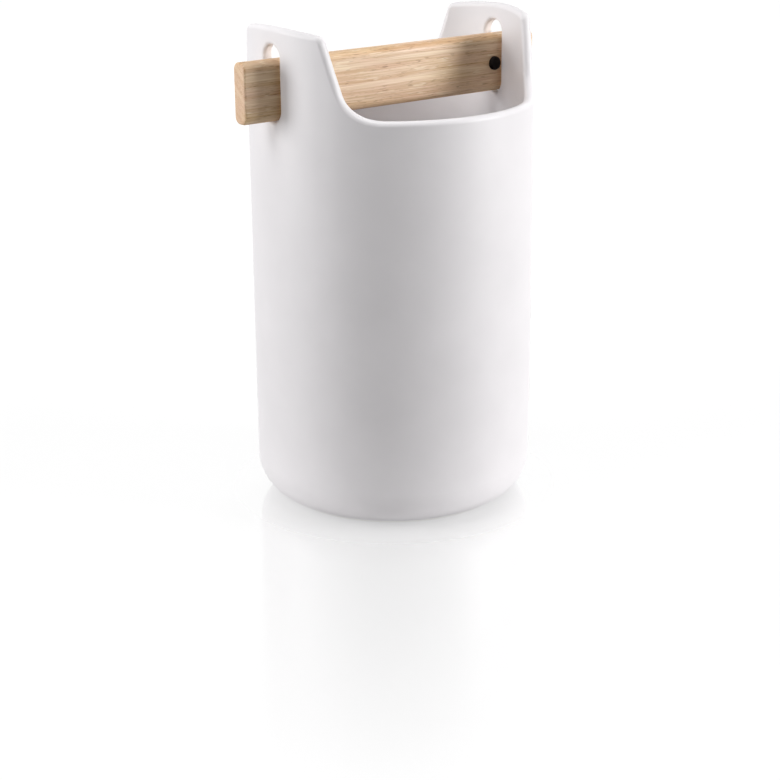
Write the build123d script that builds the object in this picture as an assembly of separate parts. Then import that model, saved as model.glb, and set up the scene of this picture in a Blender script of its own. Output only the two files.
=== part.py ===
from build123d import *
import os
from math import sqrt

# A stoneware utensil holder: a round pot whose wall rises into two ears, with an oak bar laid
# through a tall slot in each ear. Two rubber pegs in the bar, one inside each ear, keep it in.
# All sizes are in mm. Z is up, the bar lies along X, and the origin is the middle of the base.

# Pot
body_diameter = 120.0
wall = 4.4
floor_thickness = 7.0
base_edge_radius = 16.0
inner_corner_radius = 11.0
rim_height = 173.4
rim_rounding = 2.0

# Ears, as seen along the bar: sides that lean in, a gently arched top and swept-out roots
ear_over_slot = 7.2
ear_width_at_rim = 70.2
ear_width_at_top = 51.0
ear_crown_radius = 150.0
ear_corner_radius = 3.5
ear_root_radius = 13.5

# Oak bar
bar_length = 150.0
bar_height = 24.7
bar_thickness = 8.0
bar_edge_radius = 3.0
bar_end_rounding = 1.0
bar_below_rim = 3.4

# Slots in the ears, round at both ends. The bar rests low in them and can be lifted.
slot_side_clearance = 1.25
slot_seat_clearance = 0.3
slot_mouth_rounding = 1.5
lift_travel = 5.0

# Rubber pegs through the bar, proud of both its faces, beside the ears
peg_diameter = 5.8
peg_proud = 1.5
peg_end_rounding = 0.8
peg_fit_clearance = 0.03
peg_into_mouth = 0.2

# How far a cut reaches past the surface that it opens
through = 5.0

# Worked out from the sizes above
body_radius = body_diameter / 2
inner_radius = body_radius - wall
bar_underside_height = rim_height - bar_below_rim
bar_middle_height = bar_underside_height + bar_height / 2
peg_place = inner_radius - peg_diameter / 2 + peg_into_mouth
peg_length = bar_thickness + 2 * peg_proud

# How the bar seats in a slot: from the bar's edge to the centre of the slot's round end
slot_radius = bar_thickness / 2 + slot_side_clearance
seat_reach = slot_radius - bar_edge_radius - slot_seat_clearance
bar_edge_centre = bar_thickness / 2 - bar_edge_radius
bar_nest_depth = bar_edge_radius + sqrt(seat_reach**2 - bar_edge_centre**2)
slot_low_centre = bar_underside_height + bar_nest_depth
slot_high_centre = bar_underside_height + bar_height + lift_travel - bar_nest_depth
ear_height = slot_high_centre + slot_radius + ear_over_slot


def ear_outline():
    """Everything to keep of the tall tube, seen along the bar: the body with one ear above it."""
    edge = body_radius + through
    half_top = ear_width_at_top / 2
    half_root = ear_width_at_rim / 2
    corner_height = ear_height - ear_crown_radius + sqrt(ear_crown_radius**2 - half_top**2)
    with BuildSketch(Plane.YZ) as outline:
        with BuildLine():
            Polyline(
                (-half_top, corner_height),
                (-half_root, rim_height),
                (-edge, rim_height),
                (-edge, -through),
                (edge, -through),
                (edge, rim_height),
                (half_root, rim_height),
                (half_top, corner_height),
            )
            ThreePointArc((half_top, corner_height), (0, ear_height), (-half_top, corner_height))
        make_face()
        corners = outline.vertices().filter_by(lambda v: abs(v.Y - corner_height) < 0.01)
        fillet(corners, ear_corner_radius)
        roots = outline.vertices().filter_by(lambda v: abs(abs(v.X) - half_root) < 0.01)
        fillet(roots, ear_root_radius)
    return outline.sketch


def tall_tube():
    """The round pot before its top is shaped, with a rounded base edge and a dished floor.

    It is turned a quarter so that the seam of its round faces stays clear of the ears.
    """
    outside = Cylinder(body_radius, ear_height + through, align=(Align.CENTER, Align.CENTER, Align.MIN))
    outside = fillet(outside.edges().sort_by(Axis.Z)[0], base_edge_radius)
    inside = Pos(0, 0, floor_thickness) * Cylinder(
        inner_radius, ear_height + 2 * through, align=(Align.CENTER, Align.CENTER, Align.MIN)
    )
    inside = fillet(inside.edges().sort_by(Axis.Z)[0], inner_corner_radius)
    return Rot(0, 0, 90) * (outside - inside)


def slot_cut():
    """One long round-ended bar that opens the slots of both ears at once."""
    with BuildSketch(Plane.YZ) as outline:
        with Locations((0, (slot_low_centre + slot_high_centre) / 2)):
            SlotCenterToCenter(slot_high_centre - slot_low_centre, 2 * slot_radius, rotation=90)
    return extrude(outline.sketch, body_radius + through, both=True)


def wall_edges(shape, radius, in_slot):
    """Edges near the top that lie on an upright cylinder about Z: those of the slots, or the rest."""
    lowest = slot_low_centre - slot_radius - through
    found = []
    for edge in shape.edges():
        points = [edge @ 0.0, edge @ 0.5, edge @ 1.0]
        on_wall = all(abs(sqrt(p.X**2 + p.Y**2) - radius) < 0.01 for p in points)
        narrow = all(abs(p.Y) < slot_radius + 0.01 for p in points)
        high = edge.bounding_box().min.Z > lowest
        if on_wall and high and narrow == in_slot:
            found.append(edge)
    return found


def make_pot():
    pot = tall_tube() & extrude(ear_outline(), body_radius + through, both=True)
    for radius in (body_radius, inner_radius):
        pot = fillet(wall_edges(pot, radius, in_slot=False), rim_rounding)
    pot -= slot_cut()
    for radius in (body_radius, inner_radius):
        pot = fillet(wall_edges(pot, radius, in_slot=True), slot_mouth_rounding)
    return pot


def make_bar():
    bar = Pos(0, 0, bar_middle_height) * Box(bar_length, bar_thickness, bar_height)
    bar = fillet(bar.edges().filter_by(Axis.X), bar_edge_radius)
    ends = bar.faces().sort_by(Axis.X)[0].edges() + bar.faces().sort_by(Axis.X)[-1].edges()
    bar = fillet(ends, bar_end_rounding)
    for side in (-1, 1):
        hole = Cylinder(peg_diameter / 2 + peg_fit_clearance, bar_thickness + 2 * through)
        bar -= Pos(side * peg_place, 0, bar_middle_height) * Rot(90, 0, 0) * hole
    return bar


def make_peg(side):
    peg = Cylinder(peg_diameter / 2, peg_length)
    peg = fillet(peg.edges().filter_by(GeomType.CIRCLE), peg_end_rounding)
    return Pos(side * peg_place, 0, bar_middle_height) * Rot(90, 0, 0) * peg


pieces = {
    "pot": make_pot(),
    "handle_bar": make_bar(),
    "left_peg": make_peg(-1),
    "right_peg": make_peg(1),
}

os.makedirs("parts", exist_ok=True)
for name, piece in pieces.items():
    export_step(piece, f"parts/{name}.step")
    box = piece.bounding_box()
    print(name, "volume", round(piece.volume, 1), "from", box.min, "to", box.max)
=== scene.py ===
# %% [markdown]
# A utensil holder for a kitchen worktop: a round stoneware pot whose wall rises into two ears, an
# oak bar laid through a slot in each ear, and two black rubber pegs that keep the bar from sliding
# out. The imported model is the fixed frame: it gives every piece its place and its real size, in
# metres with Z up. This script gives the pieces their finish, makes the bar and pegs anew with
# Geometry Nodes, and sets up a camera, a floor and lights.

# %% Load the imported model
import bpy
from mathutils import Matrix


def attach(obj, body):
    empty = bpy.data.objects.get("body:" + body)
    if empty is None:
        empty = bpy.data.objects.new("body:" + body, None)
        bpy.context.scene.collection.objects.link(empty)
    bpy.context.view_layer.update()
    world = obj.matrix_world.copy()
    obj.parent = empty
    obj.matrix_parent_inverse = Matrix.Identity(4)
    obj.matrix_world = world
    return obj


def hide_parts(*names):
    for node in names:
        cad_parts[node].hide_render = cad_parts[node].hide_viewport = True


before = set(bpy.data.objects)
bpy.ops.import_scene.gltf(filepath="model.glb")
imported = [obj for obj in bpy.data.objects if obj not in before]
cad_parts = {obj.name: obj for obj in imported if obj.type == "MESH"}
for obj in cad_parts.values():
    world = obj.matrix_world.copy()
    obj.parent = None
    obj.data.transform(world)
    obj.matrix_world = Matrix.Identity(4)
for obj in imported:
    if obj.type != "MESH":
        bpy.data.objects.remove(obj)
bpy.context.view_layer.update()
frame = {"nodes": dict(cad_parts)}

# %% [markdown]
# Blender counts in metres, and this object is easier to think about in millimetres. So the sizes of
# the object and the camera's place are written as a number times MM, and those of the floor and the
# lamps in plain metres.

# %% Tools and units
import bpy
import math
from mathutils import Matrix, Vector

MM = 0.001
scene = bpy.context.scene
print("pieces in the packed model:", ", ".join(frame["nodes"]))

# %% [markdown]
# Colours are written as sRGB hex values, the way a colour picker shows them, and shaders want
# linear light. One function does the turning, so that no colour is ever written in two ways. A
# second function adds a node to any tree, for materials and for geometry alike, so that each step
# below reads as one statement: the kind of node, its settings, and what feeds it.

# %% Colour and node helpers
def linear(hex_colour):
    """An sRGB hex colour such as F0EEEA as linear red, green, blue and alpha."""
    channels = [int(hex_colour[i:i + 2], 16) / 255 for i in (0, 2, 4)]
    return [c / 12.92 if c <= 0.04045 else ((c + 0.055) / 1.055) ** 2.4 for c in channels] + [1.0]


def add(tree, kind, settings=None, links=None):
    """Adds one node. Settings go to its properties or its input sockets, links join its inputs to
    other nodes or to their sockets, and "stops" are the marks of a colour ramp."""
    node = tree.nodes.new(kind)
    for name, value in (settings or {}).items():
        if name == "stops":
            marks = node.color_ramp.elements
            while len(marks) < len(value):
                marks.new(0.5)
            for mark, (position, colour) in zip(marks, value):
                mark.position = position
                mark.color = linear(colour)
        elif isinstance(name, str) and hasattr(node, name):
            setattr(node, name, value)
        else:
            node.inputs[name].default_value = value
    for name, source in (links or {}).items():
        output = source.outputs[0] if isinstance(source, bpy.types.Node) else source
        tree.links.new(output, node.inputs[name])
    return node


def new_material(name):
    """An empty node material, with its tree and its output node."""
    material = bpy.data.materials.new(name)
    material.use_nodes = True
    material.node_tree.nodes.clear()
    return material, material.node_tree, material.node_tree.nodes.new("ShaderNodeOutputMaterial")


print("a mid grey of 808080 is", round(linear("808080")[0], 3), "in linear light")

# %% [markdown]
# The camera stands where the photograph was taken from. It was fitted to the outlines of the pot,
# its rim, slots and bar: a long lens about 0.8 m away, 37 degrees round from the front towards the
# bar's left end, and 19 degrees above the horizon. It could be placed by eye, but then no outline of
# the render could be held against the photograph's to judge the sizes.

# %% Camera
camera_azimuth = math.radians(36.842)
camera_elevation = math.radians(19.013)
camera_roll = math.radians(-0.456)
camera_distance = 810.6 * MM
aim_height = 42.83 * MM
aim_sideways = -1.45 * MM
focal_length = 84.48            # mm, as lenses are named
sensor_width = 36               # mm

forward = Vector((
    math.sin(camera_azimuth) * math.cos(camera_elevation),
    math.cos(camera_azimuth) * math.cos(camera_elevation),
    -math.sin(camera_elevation),
))
level_right = Vector((math.cos(camera_azimuth), -math.sin(camera_azimuth), 0))
level_up = level_right.cross(forward)
camera_right = level_right * math.cos(camera_roll) + level_up * math.sin(camera_roll)
camera_up = level_up * math.cos(camera_roll) - level_right * math.sin(camera_roll)

camera_data = bpy.data.cameras.new("camera")
camera_data.sensor_width = sensor_width
camera_data.lens = focal_length
camera = bpy.data.objects.new("camera", camera_data)
scene.collection.objects.link(camera)
camera_place = Vector((0, 0, aim_height)) - forward * camera_distance + level_right * aim_sideways
camera.matrix_world = Matrix.Translation(camera_place) @ Matrix(
    (camera_right, camera_up, -forward)).transposed().to_4x4()
scene.camera = camera
print("camera at", tuple(round(c, 4) for c in camera_place))

# %% [markdown]
# The pot is stoneware, cast in a mould and fired with a matte white glaze. To the eye it is a soft,
# even white: no mirror highlight, only a silky sheen towards the edges. Close up the glaze has a
# fine orange-peel skin, and its thickness wanders by a few hundredths of a millimetre, which shows
# as the faintest clouding. The flat foot is left bare, because a glazed foot would fuse to the kiln
# shelf: there the grey-buff clay shows, dry and grainy. All of it is worked out from the place on
# the pot, in metres, so nothing has to be unwrapped and the pattern has no seam.

# %% Stoneware with a matte white glaze
glaze_cloud_size = 22 * MM
glaze_skin_size = 0.9 * MM      # real orange peel is nearer 0.4 mm, too fine to show
clay_grain_size = 0.5 * MM
foot_height = 0.35 * MM         # up to here the clay is bare
glaze_starts = 0.56 * MM        # from here up it is glazed
skin_depth = 0.03 * MM
cloud_depth = 0.15 * MM         # the real one is a few hundredths, too faint to show

glaze, tree, out = new_material("stoneware_matte_white_glaze")
place = add(tree, "ShaderNodeTexCoord").outputs["Object"]
height = add(tree, "ShaderNodeSeparateXYZ", links={0: place}).outputs["Z"]
bare = add(tree, "ShaderNodeMapRange", {"From Min": glaze_starts, "From Max": foot_height}, {0: height})
cloud = add(tree, "ShaderNodeTexNoise", {"Scale": 1 / glaze_cloud_size, "Detail": 3.0}, {0: place})
skin = add(tree, "ShaderNodeTexNoise", {"Scale": 1 / glaze_skin_size, "Detail": 1.0}, {0: place})
grain = add(tree, "ShaderNodeTexNoise", {
    "Scale": 1 / clay_grain_size, "Detail": 3.0, "Roughness": 0.7}, {0: place})
glaze_tone = add(tree, "ShaderNodeValToRGB", {"stops": [(0.3, "E9E6E8"), (0.7, "EDEAEC")]}, {0: cloud})
clay_tone = add(tree, "ShaderNodeValToRGB", {"stops": [(0.35, "C9C0B2"), (0.65, "DED6CA")]}, {0: grain})
tone = add(tree, "ShaderNodeMix", {"data_type": "RGBA"}, {0: bare, 6: glaze_tone, 7: clay_tone})
silk = add(tree, "ShaderNodeMapRange", {
    "From Min": 0.3, "From Max": 0.7, "To Min": 0.42, "To Max": 0.50}, {0: cloud})
dryness = add(tree, "ShaderNodeMix", {3: 0.9}, {0: bare, 2: silk})
texture = add(tree, "ShaderNodeMix", links={0: bare, 2: skin, 3: grain})
relief = add(tree, "ShaderNodeBump", {"Strength": 0.25, "Distance": skin_depth}, {"Height": texture})
waviness = add(tree, "ShaderNodeBump", {"Strength": 0.3, "Distance": cloud_depth},
               {"Height": cloud, "Normal": relief})
shader = add(tree, "ShaderNodeBsdfPrincipled", {"IOR": 1.5}, {
    "Base Color": tone.outputs[2], "Roughness": dryness, "Normal": waviness})
tree.links.new(shader.outputs[0], out.inputs[0])
print("glaze has", len(tree.nodes), "nodes")

# %% [markdown]
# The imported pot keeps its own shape. A lathe or a Geometry Nodes sweep would give the round body,
# but not the rim: it dips and rises round the pot, is rounded over on both its edges all the way,
# and meets the slots. The solid model has those roundings exactly, and its mesh carries clean
# normals, so making the pot again could only lose them. It gets its glaze in its material slot.

# %% Glaze the pot
pot = frame["nodes"]["pot"]
pot.data.materials.clear()
pot.data.materials.append(glaze)
print("pot keeps its packed mesh of", len(pot.data.polygons), "triangles")

# %% [markdown]
# The bar is oak, sawn along the grain, sanded and lightly oiled. Oak is ring-porous: each year's
# ring starts with a band of wide pores, which a saw cuts lengthwise into short dark dashes, and
# ends in dense plain wood. The colour is a solid pattern, as in real wood: rings round the tree's
# middle, pores drawn out along X and fine fibres, all worked out from the place in the bar. So the
# long faces show dashes and streaks, and the sawn ends show ring arcs and dots, with no join.

# %% Oak: where rings, pores and fibres are
ring_spacing = 2.6 * MM
tree_middle = (0.0, 95 * MM, 60 * MM)       # a line along X, well behind and below the bar
grain_wander = 2.2 * MM
wander_size = (70 * MM, 25 * MM, 25 * MM)
pore_size = (4.5 * MM, 0.45 * MM, 0.45 * MM)  # real pores are 0.3 mm wide, too fine to show
fibre_size = (22 * MM, 0.35 * MM, 0.35 * MM)
stain_size = (45 * MM, 9 * MM, 9 * MM)
fleck_size = (9 * MM, 1.6 * MM, 1.2 * MM)
pore_depth = 0.12 * MM

oak, tree, out = new_material("sawn_and_oiled_oak")
place = add(tree, "ShaderNodeTexCoord").outputs["Object"]
drawn_out = [
    add(tree, "ShaderNodeMapping", {"Scale": tuple(1 / length for length in size)}, {"Vector": place})
    for size in (wander_size, pore_size, fibre_size, stain_size, fleck_size)]
wander, pores, fibres, stain, fleck = [
    add(tree, "ShaderNodeTexNoise", {"Scale": 1.0, "Detail": detail}, {"Vector": stretch})
    for stretch, detail in zip(drawn_out, (2.0, 1.0, 2.0, 2.0, 1.0))]
across = add(tree, "ShaderNodeMapping", {
    "Location": tuple(-c for c in tree_middle), "Scale": (0, 1, 1)}, {"Vector": place})
radius = add(tree, "ShaderNodeVectorMath", {"operation": "LENGTH"}, {0: across}).outputs["Value"]
bent = add(tree, "ShaderNodeMath", {"operation": "MULTIPLY_ADD", 1: 2 * grain_wander},
           {0: wander, 2: radius})
count = add(tree, "ShaderNodeMath", {"operation": "MULTIPLY", 1: 1 / ring_spacing}, {0: bent})
ring = add(tree, "ShaderNodeTexNoise", {"noise_dimensions": "1D", "Scale": 1.0, "Detail": 1.0},
           {"W": count})
early = add(tree, "ShaderNodeMapRange", {"From Min": 0.42, "From Max": 0.58}, {0: ring})
pore = add(tree, "ShaderNodeMapRange", {"From Min": 0.58, "From Max": 0.68}, {0: pores})
open_pore = add(tree, "ShaderNodeMath", {"operation": "MULTIPLY"}, {0: pore, 1: early})
print("oak: rings every", ring_spacing / MM, "mm, pores", pore_size[0] / MM, "mm long")

# %% [markdown]
# The colours of the oak come in layers over a pale, slightly pinkish tan: broad stains, the rings,
# the fibres, a few silvery flecks, and the open pores, which hold oil and shade. The rings and fibres
# multiply what lies under them, as a stain does, so the layers never grow lighter than bare wood. The
# sawn ends are darker than the faces, because end grain drinks more oil.

# %% Oak: colours and shader
silver_share, pore_share, end_share = 0.5, 0.65, 0.45     # how strongly each covers the wood

warmth = add(tree, "ShaderNodeValToRGB", {
    "stops": [(0.3, "F4D5BD"), (0.5, "F0D7B8"), (0.7, "EFD7AF")]}, {0: stain})
ring_tone = add(tree, "ShaderNodeValToRGB", {"stops": [(0.35, "FFFFFF"), (0.65, "EADBCA")]}, {0: ring})
fibre_tone = add(tree, "ShaderNodeValToRGB", {"stops": [(0.35, "E8DDD0"), (0.65, "FFFFFF")]}, {
    0: fibres})
wood = warmth.outputs[0]
for layer in (ring_tone, fibre_tone):
    wood = add(tree, "ShaderNodeMix", {"data_type": "RGBA", "blend_type": "MULTIPLY", 0: 1.0},
               {6: wood, 7: layer}).outputs[2]
silvery = add(tree, "ShaderNodeMapRange", {
    "From Min": 0.64, "From Max": 0.72, "To Max": silver_share}, {0: fleck})
wood = add(tree, "ShaderNodeMix", {"data_type": "RGBA", 7: linear("F2DFC0")},
           {0: silvery, 6: wood}).outputs[2]
shade = add(tree, "ShaderNodeMath", {"operation": "MULTIPLY", 1: pore_share}, {0: open_pore})
wood = add(tree, "ShaderNodeMix", {"data_type": "RGBA", 7: linear("9C704C")},
           {0: shade, 6: wood}).outputs[2]
facing = add(tree, "ShaderNodeNewGeometry").outputs["Normal"]
sideways = add(tree, "ShaderNodeSeparateXYZ", links={0: facing}).outputs["X"]
end_on = add(tree, "ShaderNodeMath", {"operation": "ABSOLUTE"}, {0: sideways})
end_shade = add(tree, "ShaderNodeMapRange", {
    "From Min": 0.6, "From Max": 0.95, "To Max": end_share}, {0: end_on})
wood = add(tree, "ShaderNodeMix", {"data_type": "RGBA", 7: linear("D2AC90")},
           {0: end_shade, 6: wood}).outputs[2]
depth = add(tree, "ShaderNodeMath", {"operation": "MULTIPLY_ADD", 1: -1.0}, {0: open_pore, 2: fibres})
relief = add(tree, "ShaderNodeBump", {"Strength": 0.35, "Distance": pore_depth}, {"Height": depth})
silk = add(tree, "ShaderNodeMapRange", {
    "From Min": 0.3, "From Max": 0.7, "To Min": 0.56, "To Max": 0.44}, {0: fibres})
shader = add(tree, "ShaderNodeBsdfPrincipled", {"IOR": 1.45, "Specular IOR Level": 0.8}, {
    "Base Color": wood, "Roughness": silk, "Normal": relief})
tree.links.new(shader.outputs[0], out.inputs[0])
print("oak has", len(tree.nodes), "nodes")

# %% [markdown]
# The pegs are moulded black rubber. Rubber is a deep brownish black with a dull, broad sheen, a
# fine eggshell texture from the mould and a slightly uneven bloom. One plain black would do for such
# small pieces seen from afar, but close up it would look like a hole, so two noises carry the bloom
# and the texture.

# %% Black rubber
rubber_skin_size = 0.25 * MM
rubber_bloom_size = 1.5 * MM
rubber_skin_depth = 0.02 * MM

rubber, tree, out = new_material("moulded_black_rubber")
place = add(tree, "ShaderNodeTexCoord").outputs["Object"]
skin = add(tree, "ShaderNodeTexNoise", {"Scale": 1 / rubber_skin_size}, {0: place})
bloom = add(tree, "ShaderNodeTexNoise", {"Scale": 1 / rubber_bloom_size}, {0: place})
black = add(tree, "ShaderNodeValToRGB", {"stops": [(0.3, "0A0402"), (0.7, "120B08")]}, {0: bloom})
dull = add(tree, "ShaderNodeMapRange", {
    "From Min": 0.3, "From Max": 0.7, "To Min": 0.55, "To Max": 0.7}, {0: bloom})
relief = add(tree, "ShaderNodeBump", {"Strength": 0.3, "Distance": rubber_skin_depth}, {"Height": skin})
shader = add(tree, "ShaderNodeBsdfPrincipled", {"IOR": 1.52, "Specular IOR Level": 0.1}, {
    "Base Color": black, "Roughness": dull, "Normal": relief})
tree.links.new(shader.outputs[0], out.inputs[0])
print("rubber has", len(tree.nodes), "nodes")

# %% [markdown]
# The bar and the pegs follow one rule. Each is a rod: a section with rounded corners, the same all
# along, that shrinks round a quarter circle at each end, as sandpaper or a mould leaves it. The bar
# is flat and long, and a peg has corners so round that its section is a circle. So one node group
# makes both. The section is a rectangle with filleted corners. It is swept along a straight line
# whose points stand close together at the ends, and the swept skin is then drawn in there. A cube
# with a Bevel modifier would also do, but its ends and sides couldn't be rounded differently.

# %% Rod: a geometry tree with named sizes
rod_sizes = ("Length", "Height", "Thickness", "Edge Radius", "End Rounding")
rod_stations = 20       # places along the rod, half of them round each end
corner_steps = 9
weld_gap = 0.0005 * MM  # points closer than this become one


def new_tree(name, sizes):
    """An empty geometry tree with one number input for each size, its inputs and its output."""
    tree = bpy.data.node_groups.new(name, "GeometryNodeTree")
    tree.interface.new_socket("Geometry", in_out="OUTPUT", socket_type="NodeSocketGeometry")
    for size in sizes:
        tree.interface.new_socket(size, in_out="INPUT", socket_type="NodeSocketFloat")
    return tree, tree.nodes.new("NodeGroupInput").outputs, tree.nodes.new("NodeGroupOutput").inputs[0]


rod, size, out = new_tree("rounded_rod", rod_sizes)
section = add(rod, "GeometryNodeCurvePrimitiveQuadrilateral",
              links={"Width": size["Thickness"], "Height": size["Height"]})
section = add(rod, "GeometryNodeFilletCurve", {
    "mode": "POLY", "Count": corner_steps, "Limit Radius": True},
    {"Curve": section, "Radius": size["Edge Radius"]})
line = add(rod, "GeometryNodeCurvePrimitiveLine", {"End": (1, 0, 0)})
line = add(rod, "GeometryNodeResampleCurve", {"Count": rod_stations}, {"Curve": line})
print("rod: a section with", 4 * corner_steps, "corner steps, at", rod_stations, "places")

# %% [markdown]
# Each point of the line counts how far it is from the nearer end. That count is turned into an
# angle round the quarter circle, and its cosine says how far in from the end the point stands.

# %% Rod: places along the line, and the sweep
step = add(rod, "GeometryNodeInputIndex")
back = add(rod, "ShaderNodeMath", {"operation": "SUBTRACT", 0: rod_stations - 1}, {1: step})
near = add(rod, "ShaderNodeMath", {"operation": "MINIMUM"}, {0: step, 1: back})
turn = add(rod, "ShaderNodeMath", {"operation": "MULTIPLY", 1: math.pi / (rod_stations - 2)}, {
    0: near})
cosine = add(rod, "ShaderNodeMath", {"operation": "COSINE"}, {0: turn})
share = add(rod, "ShaderNodeMath", {"operation": "SUBTRACT", 0: 1.0}, {1: cosine})
short = add(rod, "ShaderNodeMath", {"operation": "MULTIPLY"}, {0: share, 1: size["End Rounding"]})
half = add(rod, "ShaderNodeMath", {"operation": "MULTIPLY", 1: 0.5}, {0: size["Length"]})
reach = add(rod, "ShaderNodeMath", {"operation": "SUBTRACT"}, {0: half, 1: short})
which = add(rod, "ShaderNodeMath", {"operation": "SUBTRACT"}, {0: step, 1: back})
side = add(rod, "ShaderNodeMath", {"operation": "SIGN"}, {0: which})
along = add(rod, "ShaderNodeMath", {"operation": "MULTIPLY"}, {0: reach, 1: side})
station = add(rod, "ShaderNodeCombineXYZ", links={"X": along})
line = add(rod, "GeometryNodeSetPosition", links={"Geometry": line, "Position": station})
skin = add(rod, "GeometryNodeCurveToMesh", {"Fill Caps": True}, {
    "Curve": line, "Profile Curve": section})
skin = add(rod, "GeometryNodeMergeByDistance", {"Distance": weld_gap}, {"Geometry": skin})
print("rod: stations worked out with", len(rod.nodes), "nodes")

# %% [markdown]
# Near an end each point of the skin moves straight inwards, square to the section's outline. That
# direction points away from the section's core, the rectangle between the corners' centres. How
# far it moves is the gap between the quarter circle and the straight side.

# %% Rod: draw the ends in
spot = add(rod, "GeometryNodeInputPosition")
across = add(rod, "ShaderNodeVectorMath", {"operation": "MULTIPLY", 1: (0, 1, 1)}, {0: spot})
full = add(rod, "ShaderNodeCombineXYZ", links={"Y": size["Thickness"], "Z": size["Height"]})
corner = add(rod, "ShaderNodeCombineXYZ", links={"Y": size["Edge Radius"], "Z": size["Edge Radius"]})
halved = add(rod, "ShaderNodeVectorMath", {"operation": "SCALE", "Scale": 0.5}, {0: full})
core = add(rod, "ShaderNodeVectorMath", {"operation": "SUBTRACT"}, {0: halved, 1: corner})
minus = add(rod, "ShaderNodeVectorMath", {"operation": "SCALE", "Scale": -1.0}, {0: core})
capped = add(rod, "ShaderNodeVectorMath", {"operation": "MINIMUM"}, {0: across, 1: core})
inner = add(rod, "ShaderNodeVectorMath", {"operation": "MAXIMUM"}, {0: capped, 1: minus})
away = add(rod, "ShaderNodeVectorMath", {"operation": "SUBTRACT"}, {0: across, 1: inner})
outwards = add(rod, "ShaderNodeVectorMath", {"operation": "NORMALIZE"}, {0: away})
x = add(rod, "ShaderNodeSeparateXYZ", links={0: spot}).outputs["X"]
far = add(rod, "ShaderNodeMath", {"operation": "ABSOLUTE"}, {0: x})
past = add(rod, "ShaderNodeMath", {"operation": "SUBTRACT"}, {0: far, 1: half})
over = add(rod, "ShaderNodeMath", {"operation": "ADD"}, {0: past, 1: size["End Rounding"]})
sine = add(rod, "ShaderNodeMath", {"operation": "DIVIDE"}, {0: over, 1: size["End Rounding"]})
sine = add(rod, "ShaderNodeMath", {"operation": "MAXIMUM", 1: 0.0}, {0: sine})
square = add(rod, "ShaderNodeMath", {"operation": "POWER", 1: 2.0}, {0: sine})
rest = add(rod, "ShaderNodeMath", {"operation": "SUBTRACT", 0: 1.0, "use_clamp": True}, {1: square})
root = add(rod, "ShaderNodeMath", {"operation": "SQRT"}, {0: rest})
inset = add(rod, "ShaderNodeMath", {"operation": "SUBTRACT", 1: 1.0}, {0: root})
inset = add(rod, "ShaderNodeMath", {"operation": "MULTIPLY"}, {0: inset, 1: size["End Rounding"]})
shift = add(rod, "ShaderNodeVectorMath", {"operation": "SCALE"}, {0: outwards, "Scale": inset})
skin = add(rod, "GeometryNodeSetPosition", links={"Geometry": skin, "Offset": shift})
rod.links.new(skin.outputs[0], out)
print("rod tree has", len(rod.nodes), "nodes")

# %% [markdown]
# The bar is such a rod with two holes drilled through it for the pegs. The drill stands at both
# ends of a line of two points, and a boolean takes it out. The faces could be built round the holes
# instead, but a boolean follows every size that may change. A drilled edge is crisp, so the edges
# that the cut leaves are marked sharp while the rest is smooth.

# %% Bar: a rod with two drilled holes
drill_length = 20 * MM      # well over the bar's thickness
drill_sides = 64

bar_tree, size, out = new_tree("drilled_bar", rod_sizes + (
    "Hole Radius", "Hole Place", "Middle Height"))
blank = add(bar_tree, "GeometryNodeGroup", {"node_tree": rod}, {
    name: size[name] for name in rod_sizes})
drill = add(bar_tree, "GeometryNodeMeshCylinder", {"Vertices": drill_sides, "Depth": drill_length},
            {"Radius": size["Hole Radius"]})
left = add(bar_tree, "ShaderNodeMath", {"operation": "MULTIPLY", 1: -1.0}, {0: size["Hole Place"]})
left = add(bar_tree, "ShaderNodeCombineXYZ", links={"X": left})
right = add(bar_tree, "ShaderNodeCombineXYZ", links={"X": size["Hole Place"]})
ends = add(bar_tree, "GeometryNodeMeshLine", {"mode": "END_POINTS", "Count": 2},
           {"Start Location": left, "Offset": right})
drills = add(bar_tree, "GeometryNodeInstanceOnPoints", {"Rotation": (math.pi / 2, 0, 0)},
             {"Points": ends, "Instance": drill})
drills = add(bar_tree, "GeometryNodeRealizeInstances", links={"Geometry": drills})
cut = add(bar_tree, "GeometryNodeMeshBoolean", {"operation": "DIFFERENCE", "solver": "EXACT"},
          {"Mesh 1": blank, "Mesh 2": drills})
lift = add(bar_tree, "ShaderNodeCombineXYZ", links={"Z": size["Middle Height"]})
piece = add(bar_tree, "GeometryNodeTransform", links={"Geometry": cut, "Translation": lift})
piece = add(bar_tree, "GeometryNodeSetShadeSmooth", {"Shade Smooth": True}, {"Geometry": piece})
piece = add(bar_tree, "GeometryNodeSetShadeSmooth", {"domain": "EDGE", "Shade Smooth": False},
            {"Geometry": piece, "Selection": cut.outputs["Intersecting Edges"]})
piece = add(bar_tree, "GeometryNodeRealizeInstances", links={"Geometry": piece})
piece = add(bar_tree, "GeometryNodeSetMaterial", {"Material": oak}, {"Geometry": piece})
bar_tree.links.new(piece.outputs[0], out)
print("bar tree has", len(bar_tree.nodes), "nodes")

# %% [markdown]
# A tree runs as a modifier on an empty mesh. Its sizes are set by their sockets' identifiers, which
# stay the same when a name is used twice. A Weighted Normal modifier after it lets the large flat
# faces keep their flatness and puts all the turning into the roundings. The result is then copied
# to a plain mesh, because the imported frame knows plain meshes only, and the modifiers go. A boolean
# leaves an empty material slot in front, so the slots are cleared and hold the one material.

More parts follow.
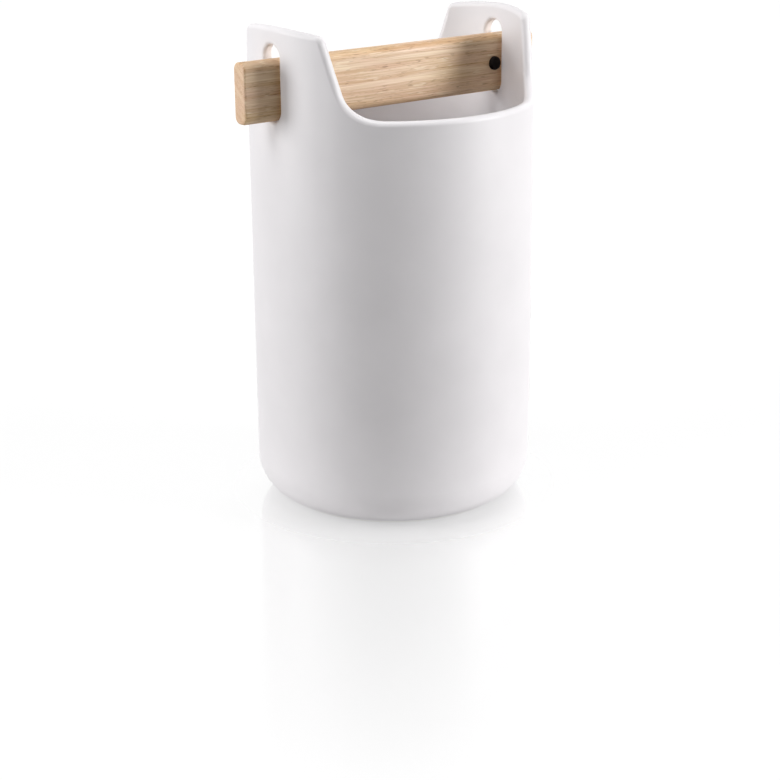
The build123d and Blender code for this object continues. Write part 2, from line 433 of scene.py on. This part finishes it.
# %% Turn a tree into a piece
def grow(name, tree, sizes, material):
    """Runs a geometry tree with these sizes and returns its result as an object with a plain mesh."""
    piece = bpy.data.objects.new(name, bpy.data.meshes.new(name))
    scene.collection.objects.link(piece)
    shape = piece.modifiers.new("shape", "NODES")
    shape.node_group = tree
    sockets = {item.name: item.identifier for item in tree.interface.items_tree
               if item.in_out == "INPUT"}
    for size, value in sizes.items():
        shape[sockets[size]] = value
    flats = piece.modifiers.new("flats", "WEIGHTED_NORMAL")
    flats.weight = 100      # the largest faces decide the normals
    flats.keep_sharp = True
    evaluated = piece.evaluated_get(bpy.context.evaluated_depsgraph_get())
    made = bpy.data.meshes.new_from_object(evaluated)
    piece.modifiers.clear()
    piece.data = made
    made.name = name
    made.materials.clear()
    made.materials.append(material)
    made.polygons.foreach_set("material_index", [0] * len(made.polygons))
    spans = [[v.co[i] / MM for v in made.vertices] for i in range(3)]
    print(name, "has", len(made.polygons), "faces and measures",
          " x ".join(str(round(max(s) - min(s), 2)) for s in spans), "mm")
    return piece


# %% [markdown]
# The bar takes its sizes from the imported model. It is longer than the pot is wide, so that it stands
# out past both ears, and it rests in the round bottoms of the slots, with room to lift above it. Its
# holes are a hair wider than the pegs.

# %% Oak bar
bar_middle_height = 182.35 * MM     # above the worktop
peg_place = 52.9 * MM               # from the bar's middle to each peg
peg_diameter = 5.8 * MM
hole_play = 0.03 * MM               # round a peg, on all sides

oak_bar = grow("oak_bar", bar_tree, {
    "Length": 150 * MM, "Height": 24.7 * MM, "Thickness": 8 * MM, "Edge Radius": 3 * MM,
    "End Rounding": 1 * MM, "Hole Radius": peg_diameter / 2 + hole_play, "Hole Place": peg_place,
    "Middle Height": bar_middle_height}, oak)
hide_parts("handle_bar")
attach(oak_bar, "handle")

# %% [markdown]
# A peg is a short round rod pushed through its hole, proud of both faces of the bar, where it stops
# the bar from sliding out through the slot. It is the same rod with its corners as round as its
# section is high, turned to lie across the bar. The tree is made once and run for each side.

# %% Peg: a round rod across the bar
peg_tree, size, out = new_tree("rubber_peg", (
    "Length", "Diameter", "End Rounding", "Place", "Middle Height"))
peg_radius = add(peg_tree, "ShaderNodeMath", {"operation": "MULTIPLY", 1: 0.5}, {0: size["Diameter"]})
piece = add(peg_tree, "GeometryNodeGroup", {"node_tree": rod}, {
    "Length": size["Length"], "Height": size["Diameter"], "Thickness": size["Diameter"],
    "Edge Radius": peg_radius, "End Rounding": size["End Rounding"]})
spot = add(peg_tree, "ShaderNodeCombineXYZ", links={"X": size["Place"], "Z": size["Middle Height"]})
piece = add(peg_tree, "GeometryNodeTransform", {"Rotation": (0, 0, math.pi / 2)},
            {"Geometry": piece, "Translation": spot})
piece = add(peg_tree, "GeometryNodeSetShadeSmooth", {"Shade Smooth": True}, {"Geometry": piece})
piece = add(peg_tree, "GeometryNodeRealizeInstances", links={"Geometry": piece})
piece = add(peg_tree, "GeometryNodeSetMaterial", {"Material": rubber}, {"Geometry": piece})
peg_tree.links.new(piece.outputs[0], out)

for side, place in (("left", -peg_place), ("right", peg_place)):
    peg = grow(side + "_rubber_peg", peg_tree, {
        "Length": 11 * MM, "Diameter": peg_diameter, "End Rounding": 0.8 * MM, "Place": place,
        "Middle Height": bar_middle_height}, rubber)
    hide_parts(side + "_peg")
    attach(peg, "handle")

# %% [markdown]
# The pot stands on a smooth white board that runs back into a white backdrop with no visible edge.
# Its surface is a little glossy, so that the pot shows in it as a faint mirror image that fades
# towards the camera, and it keeps a soft shadow. White that is lit would clip, or else look grey, so
# the board is lit by the lamps for a part of its brightness only, and glows for the rest, for the
# rays that see it. For the rays that carry light to the pot it is plain and matte: pale close to the
# foot, whose rounded edge it brightens from below, and a duller grey further out.

# %% Floor material
sheen_starts, sheen_ends = 0.06, 0.28   # m from the pot's axis
sheen_strength = 0.38
lit_by_lamps = 0.12
own_glow = 0.885
haze_starts, haze_ends = 0.22, 0.55     # m, where the floor fades into the white backdrop
near_ends, far_starts = 0.055, 0.135    # m, between these the floor turns from pale to dull
near_bounce, far_bounce = 0.74, 0.30    # how much light it throws back on the pot
gloss_roughness = 0.12

floor_paint, tree, out = new_material("glossy_white_board")
place = add(tree, "ShaderNodeTexCoord").outputs["Object"]
reach = add(tree, "ShaderNodeVectorMath", {"operation": "LENGTH"}, {0: place}).outputs["Value"]
sheen = add(tree, "ShaderNodeMapRange", {
    "From Min": sheen_starts, "From Max": sheen_ends, "To Min": sheen_strength, "To Max": 0.0}, {
    0: reach})
haze = add(tree, "ShaderNodeMapRange", {
    "From Min": haze_starts, "From Max": haze_ends, "To Min": own_glow, "To Max": 1.0}, {0: reach})
glow = add(tree, "ShaderNodeMath", {"operation": "SUBTRACT"}, {0: haze, 1: sheen})
bounce_tone = add(tree, "ShaderNodeMapRange", {
    "interpolation_type": "SMOOTHSTEP", "From Min": near_ends, "From Max": far_starts,
    "To Min": near_bounce, "To Max": far_bounce}, {0: reach})
bounce = add(tree, "ShaderNodeBsdfDiffuse", links={"Color": bounce_tone})
shown = add(tree, "ShaderNodeBsdfDiffuse", {"Color": (lit_by_lamps, lit_by_lamps, lit_by_lamps, 1)})
bright = add(tree, "ShaderNodeEmission", links={"Strength": glow})
gloss = add(tree, "ShaderNodeBsdfGlossy", {"Roughness": gloss_roughness}, {"Color": sheen})
both = add(tree, "ShaderNodeAddShader", links={0: shown, 1: bright})
both = add(tree, "ShaderNodeAddShader", links={0: both, 1: gloss})
path = add(tree, "ShaderNodeLightPath").outputs
seen = add(tree, "ShaderNodeMath", {"operation": "MAXIMUM"}, {
    0: path["Is Camera Ray"], 1: path["Is Glossy Ray"]})
seen = add(tree, "ShaderNodeMath", {"operation": "MAXIMUM"}, {0: seen, 1: path["Is Transmission Ray"]})
mix = add(tree, "ShaderNodeMixShader", links={0: seen, 1: bounce, 2: both})
tree.links.new(mix.outputs[0], out.inputs[0])
print("floor material has", len(tree.nodes), "nodes")

# %% [markdown]
# The board itself is one flat square under the pot, so large that its edges are lost in the white.
# A curved backdrop would hide them too, but needs more room than the fade does.

# %% Floor
floor_reach = 6.0       # m from the middle to each edge
floor_mesh = bpy.data.meshes.new("floor")
floor_mesh.from_pydata([
    (x * floor_reach, y * floor_reach, 0) for x, y in ((-1, -1), (1, -1), (1, 1), (-1, 1))
], [], [(0, 1, 2, 3)])
floor = bpy.data.objects.new("floor", floor_mesh)
scene.collection.objects.link(floor)
floor.data.materials.append(floor_paint)
print("floor is", 2 * floor_reach, "m across")

# %% [markdown]
# The room behind the board is plain white to the camera and in mirror images, and nearly dark to
# the rays that carry light to the pot, so that the lamps alone model its shape. A white world alone
# would light the pot from all sides and make it look flat.

# %% World
world_fill = 0.01

world = bpy.data.worlds.new("studio")
scene.world = world
world.use_nodes = True
tree = world.node_tree
tree.nodes.clear()
out = tree.nodes.new("ShaderNodeOutputWorld")
dim = add(tree, "ShaderNodeBackground", {"Color": (1, 1, 1, 1), "Strength": world_fill})
white = add(tree, "ShaderNodeBackground", {"Color": (1, 1, 1, 1), "Strength": 1.0})
path = add(tree, "ShaderNodeLightPath").outputs
seen = add(tree, "ShaderNodeMath", {"operation": "MAXIMUM"}, {
    0: path["Is Camera Ray"], 1: path["Is Glossy Ray"]})
seen = add(tree, "ShaderNodeMath", {"operation": "MAXIMUM"}, {0: seen, 1: path["Is Transmission Ray"]})
mix = add(tree, "ShaderNodeMixShader", links={0: seen, 1: dim, 2: white})
tree.links.new(mix.outputs[0], out.inputs[0])
print("world fill is", world_fill)

# %% [markdown]
# The photograph shows a cylinder that is bright at both sides and darkest in its middle, so the
# lamps stand to the sides and behind, and none beside the camera. Their powers were found by
# measuring how much light each one gives to each part of the pot and solving for the greys.

# %% Lights
lamp_distance = 1.2     # m
lamp_height = 0.7       # m
lamp_target = Vector((0, 0, 0.1))       # the middle of the pot


def soft_light(name, azimuth, elevation, width, power):
    """A rectangular soft box that faces the pot. Azimuth 0 is the front and 90 the bar's right
    end, in degrees, the width is in metres and the power in watts."""
    a, e = math.radians(azimuth), math.radians(elevation)
    away = Vector((math.sin(a) * math.cos(e), -math.cos(a) * math.cos(e), math.sin(e)))
    data = bpy.data.lights.new(name, "AREA")
    data.shape = "RECTANGLE"
    data.size = width
    data.size_y = lamp_height
    data.energy = power
    lamp = bpy.data.objects.new(name, data)
    scene.collection.objects.link(lamp)
    lamp.location = lamp_target + away * lamp_distance
    lamp.rotation_euler = (-away).to_track_quat("-Z", "Y").to_euler()
    print(name, power, "W from", tuple(round(c, 2) for c in lamp.location))
    return lamp


soft_light("key", 40, 13, 0.46, 13.4)
soft_light("left_low", -118, 12, 0.4, 7.7)
soft_light("left_high", -92, 38, 0.4, 4.4)
soft_light("overhead", 0, 90, 0.7, 6.8)
back_light = soft_light("back_light", 128, 14, 0.4, 6.0)
back_light.visible_glossy = False       # it would glare in the floor, straight behind the pot
scene.view_settings.view_transform = "Standard"
